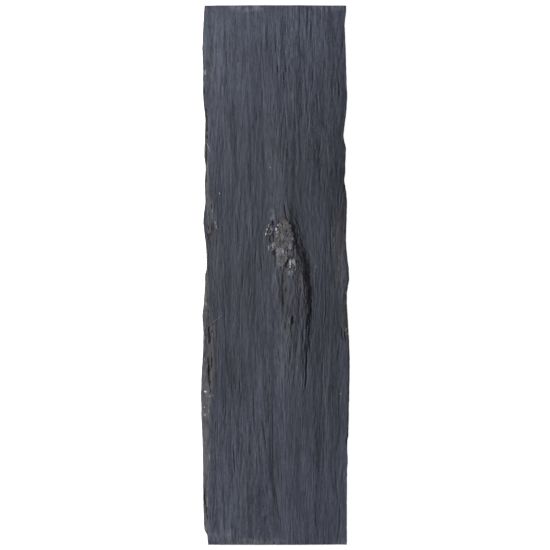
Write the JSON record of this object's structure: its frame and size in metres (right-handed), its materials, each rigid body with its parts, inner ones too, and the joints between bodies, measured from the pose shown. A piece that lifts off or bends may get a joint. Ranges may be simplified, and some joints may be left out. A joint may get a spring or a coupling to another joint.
{
  "type": "slate slab",
  "caption": "Long thin slab of natural cleft slate with sawn ends, broken long sides and a raised, crusted knot on its face.",
  "frame": {"origin": "middle of the flat back, which lies on Z = 0 with the slab on its back", "axes": "+X across the slab to the right of its cleft face, +Y along it to the head end, +Z out of the cleft face"},
  "size_m": [0.2771, 1, 0.0424],
  "materials": {
    "slate": "dull natural cleft, dark blue-grey, finely striped along its length",
    "knot_crust": "rough grey mineral crust with pale, slightly glossy broken crystal faces"
  },
  "bodies": {
    "root": {"slate_slab": "slate"}
  },
  "joints": []
}
